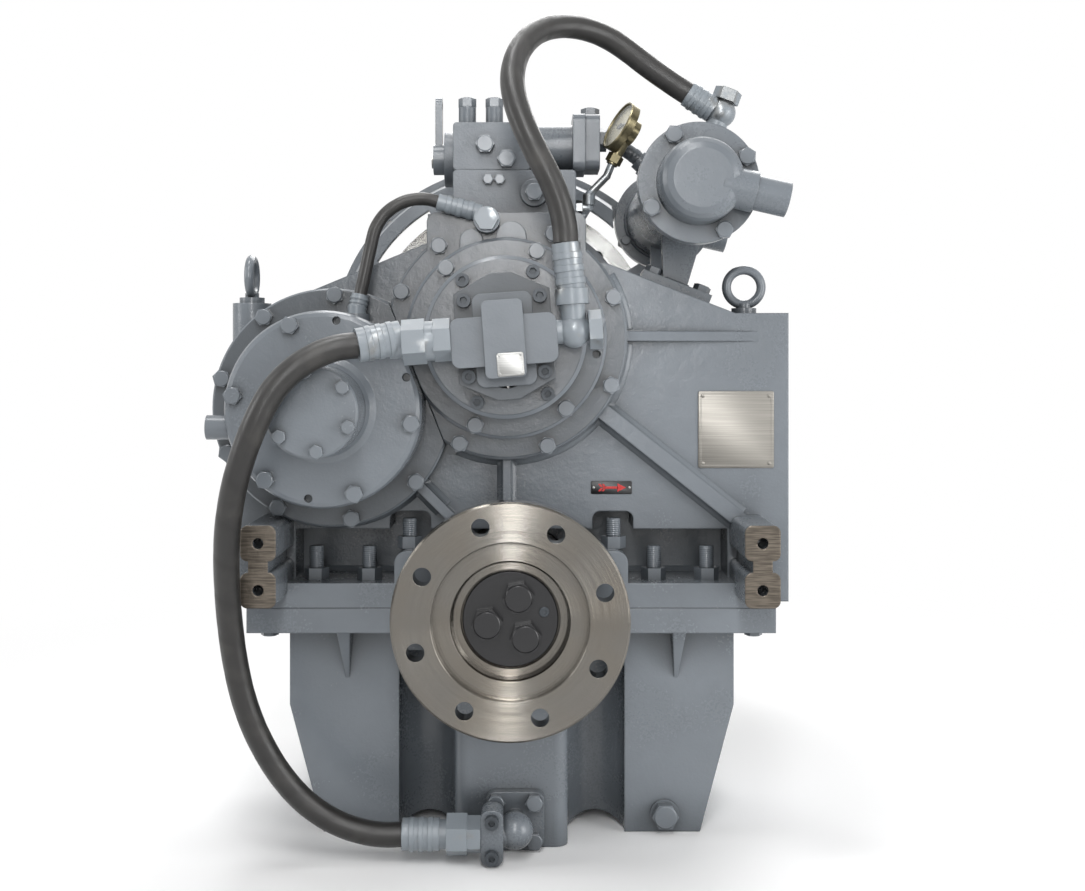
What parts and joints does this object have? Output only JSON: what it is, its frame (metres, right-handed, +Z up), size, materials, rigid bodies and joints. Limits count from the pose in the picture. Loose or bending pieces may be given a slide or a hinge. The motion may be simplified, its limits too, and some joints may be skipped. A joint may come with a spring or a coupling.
{
  "type": "marine gearbox",
  "caption": "Marine reverse-reduction gearbox: split cast casing with clutch shafts, gear train, oil pump, hoses, control valve, oil cooler, bell housing and output flange.",
  "frame": {"origin": "centre of the output flange's front face", "axes": "+X right as seen from the output end, +Y towards the engine, +Z up"},
  "size_m": [0.5858, 0.5578, 0.826],
  "materials": {
    "casting_paint": "satin blue-grey paint over a cast surface",
    "fastener_paint": "satin blue-grey paint",
    "rubber": "matt rubber with a cloth wrap",
    "black_steel": "blackened",
    "zinc": "zinc plated and partly painted",
    "brass": "dull",
    "bare_steel": "turned"
  },
  "bodies": {
    "casing": {"upper_casing": "casting_paint", "lower_casing": "casting_paint", "bell_housing": "casting_paint", "input_cover": "casting_paint", "input_bearing_ring": "casting_paint", "pump_adapter": "casting_paint", "pump_body": "casting_paint", "pump_cover": "casting_paint", "reverse_cover": "casting_paint", "reverse_bearing_cover": "casting_paint", "reverse_end_cap": "casting_paint", "hex_bolts": "fastener_paint", "cap_bolts": "fastener_paint", "socket_screws": "black_steel", "casing_studs": "fastener_paint", "drain_plug": "fastener_paint", "output_seal": "rubber", "bearing_cups": "bare_steel", "valve_base": "casting_paint", "valve_body": "casting_paint", "pressure_regulator": "casting_paint", "valve_plugs": "fastener_paint", "cooler_shell": "casting_paint", "cooler_front_cap": "casting_paint", "cooler_rear_cap": "casting_paint", "eye_bolts": "fastener_paint", "suction_elbow": "casting_paint", "suction_hose": "rubber", "suction_fittings": "zinc", "pressure_hose": "rubber", "pressure_fittings": "zinc", "clutch_hose": "rubber", "clutch_fittings": "zinc", "cooler_pipe": "fastener_paint", "gauge_case": "brass", "gauge_pipe": "zinc"},
    "output_train": {"output_shaft": "bare_steel", "output_gear": "bare_steel", "output_flange": "bare_steel", "retainer_plate": "black_steel", "retainer_bolts": "black_steel", "output_bearing_cones": "bare_steel"},
    "input_train": {"input_shaft": "bare_steel", "forward_drum": "bare_steel", "forward_pinion": "bare_steel", "forward_plates": "brass", "input_bearing_cones": "bare_steel", "coupling_ring": "bare_steel", "coupling_rubber": "rubber", "pump_drive_gear": "bare_steel"},
    "reverse_train": {"reverse_shaft": "bare_steel", "reverse_drum": "bare_steel", "reverse_steel_plates": "bare_steel", "reverse_bearing_cones": "bare_steel"},
    "reverse_pinion_set": {"reverse_pinion": "bare_steel", "reverse_friction_plates": "brass"},
    "pump_idler": {"pump_idler_gear": "bare_steel"},
    "lever": {"control_lever": "fastener_paint", "control_shaft": "bare_steel"},
    "needle": {"gauge_needle": "black_steel"}
  },
  "joints": [
    {"name": "output_spin", "type": "hinge", "parent": "casing", "child": "output_train", "pos_m": [0, 0.2, 0], "axis": [0, 1, 0], "continuous": true},
    {"name": "input_spin", "type": "hinge", "parent": "casing", "child": "input_train", "pos_m": [-0.005, 0.2, 0.26995], "axis": [0, 1, 0], "continuous": true},
    {"name": "reverse_shaft_spin", "type": "hinge", "parent": "casing", "child": "reverse_train", "pos_m": [-0.18079, 0.2, 0.20054], "axis": [0, 1, 0], "continuous": true},
    {"name": "reverse_pinion_spin", "type": "hinge", "parent": "casing", "child": "reverse_pinion_set", "pos_m": [-0.18079, 0.2, 0.20054], "axis": [0, 1, 0], "continuous": true},
    {"name": "pump_idler_spin", "type": "hinge", "parent": "casing", "child": "pump_idler", "pos_m": [-0.0029, 0.2, 0.24003], "axis": [0, 1, 0], "continuous": true},
    {"name": "control_lever_swing", "type": "hinge", "parent": "casing", "child": "lever", "pos_m": [-0.08199, 0.15, 0.45895], "axis": [1, 0, 0], "range_deg": [-40, 40]},
    {"name": "gauge_needle_swing", "type": "hinge", "parent": "casing", "child": "needle", "pos_m": [0.11001, 0.128, 0.49195], "axis": [-0.8395, -0.2898, 0.4597], "range_deg": [-90, 180]}
  ],
  "couplings": [
    {"joint": "input_spin", "follows": "output_spin", "ratio": -2.2727},
    {"joint": "reverse_shaft_spin", "follows": "output_spin", "ratio": 2.2727},
    {"joint": "reverse_pinion_spin", "follows": "output_spin", "ratio": -2.2727},
    {"joint": "pump_idler_spin", "follows": "output_spin", "ratio": 2.2727}
  ]
}
